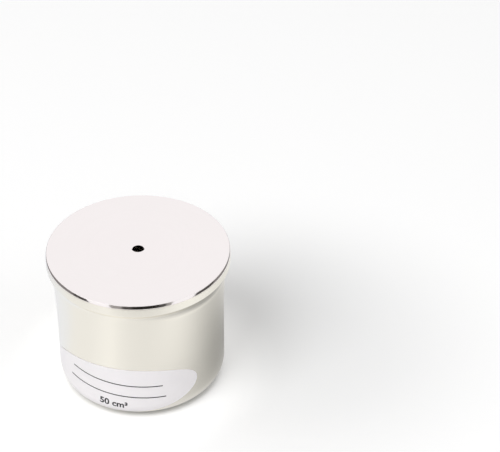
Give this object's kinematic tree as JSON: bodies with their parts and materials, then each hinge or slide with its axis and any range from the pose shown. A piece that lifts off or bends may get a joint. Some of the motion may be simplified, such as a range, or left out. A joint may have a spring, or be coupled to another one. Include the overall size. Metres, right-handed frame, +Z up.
{
  "type": "pycnometer",
  "caption": "Turned metal cup of 50 ml with a flat vented lid and an oval sticker, for weighing an exactly known volume of liquid.",
  "frame": {"origin": "middle of the cup's flat base, on the surface it stands on", "axes": "+Z up along the turning axis, -Y towards the front, +X to the right seen from the front; the sticker is centred 21 degrees from -Y towards -X"},
  "size_m": [0.0494, 0.0494, 0.0407],
  "materials": {
    "cup_steel": "polished stainless steel with faint turning marks",
    "lid_steel": "fine satin polished stainless steel",
    "label_paper": "white coated paper sticker"
  },
  "bodies": {
    "root": {"cup_body": "cup_steel", "lid": "lid_steel", "label": "label_paper"}
  },
  "joints": []
}
